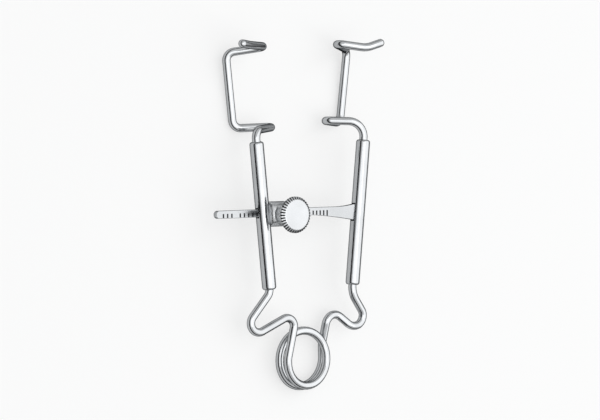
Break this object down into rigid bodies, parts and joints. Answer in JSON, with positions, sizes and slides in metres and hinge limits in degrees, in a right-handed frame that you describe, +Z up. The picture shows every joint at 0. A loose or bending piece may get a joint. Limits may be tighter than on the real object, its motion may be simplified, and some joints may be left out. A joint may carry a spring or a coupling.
{
  "type": "eye speculum",
  "caption": "Bent-wire eye speculum: sprung arms on a wire coil end in lid hooks, and a graduated cross bar with a knurled clamp screw sets their spread.",
  "frame": {"origin": "centre of the bounding box at its base, on the surface that the instrument lies on", "axes": "+Y from the coil towards the lid hooks, +Z up out of the surface, with the clamp screw on top; the arms rise a little towards +Y"},
  "size_m": [0.041, 0.0684, 0.0137],
  "materials": {
    "spring_wire": "polished",
    "rod_steel": "polished",
    "bar_steel": "satin",
    "clamp_steel": "polished"
  },
  "bodies": {
    "right_arm": {"arm_rod_right": "rod_steel", "blade_wire_right": "spring_wire", "spring_leg_right": "spring_wire", "spring_coil": "spring_wire", "bar_pivot_pin": "clamp_steel"},
    "left_arm": {"arm_rod_left": "rod_steel", "blade_wire_left": "spring_wire", "spring_leg_left": "spring_wire", "guide_boss": "clamp_steel", "thread_bush": "clamp_steel"},
    "cross_bar": {"cross_bar": "bar_steel"},
    "clamp_stem": {"clamp_screw_stem": "clamp_steel"},
    "clamp_head": {"clamp_screw_head": "clamp_steel"}
  },
  "joints": [
    {"name": "arm_spread", "type": "hinge", "parent": "right_arm", "child": "left_arm", "pos_m": [0.00272, -0.02792, 0.00259], "axis": [0, -0.0601, 0.9982], "range_deg": [-15, 10], "stiffness_Nm_per_rad": 0.3, "deforming": ["spring_coil"]},
    {"name": "bar_tilt", "type": "hinge", "parent": "right_arm", "child": "cross_bar", "pos_m": [0.01456, 0.00073, 0.00668], "axis": [0, -0.0601, 0.9982], "range_deg": [-7.5, 5]},
    {"name": "clamp_travel", "type": "slide", "parent": "left_arm", "child": "clamp_stem", "axis": [0, -0.0601, 0.9982], "range_m": [0, 0.0012]},
    {"name": "clamp_turn", "type": "hinge", "parent": "clamp_stem", "child": "clamp_head", "pos_m": [-0.00571, 0.00016, 0.0121], "axis": [0, -0.0601, 0.9982], "range_deg": [0, 1080]}
  ],
  "couplings": [
    {"joint": "bar_tilt", "follows": "arm_spread", "ratio": 0.5},
    {"joint": "clamp_turn", "follows": "clamp_travel", "rad_per_m": 15708}
  ]
}
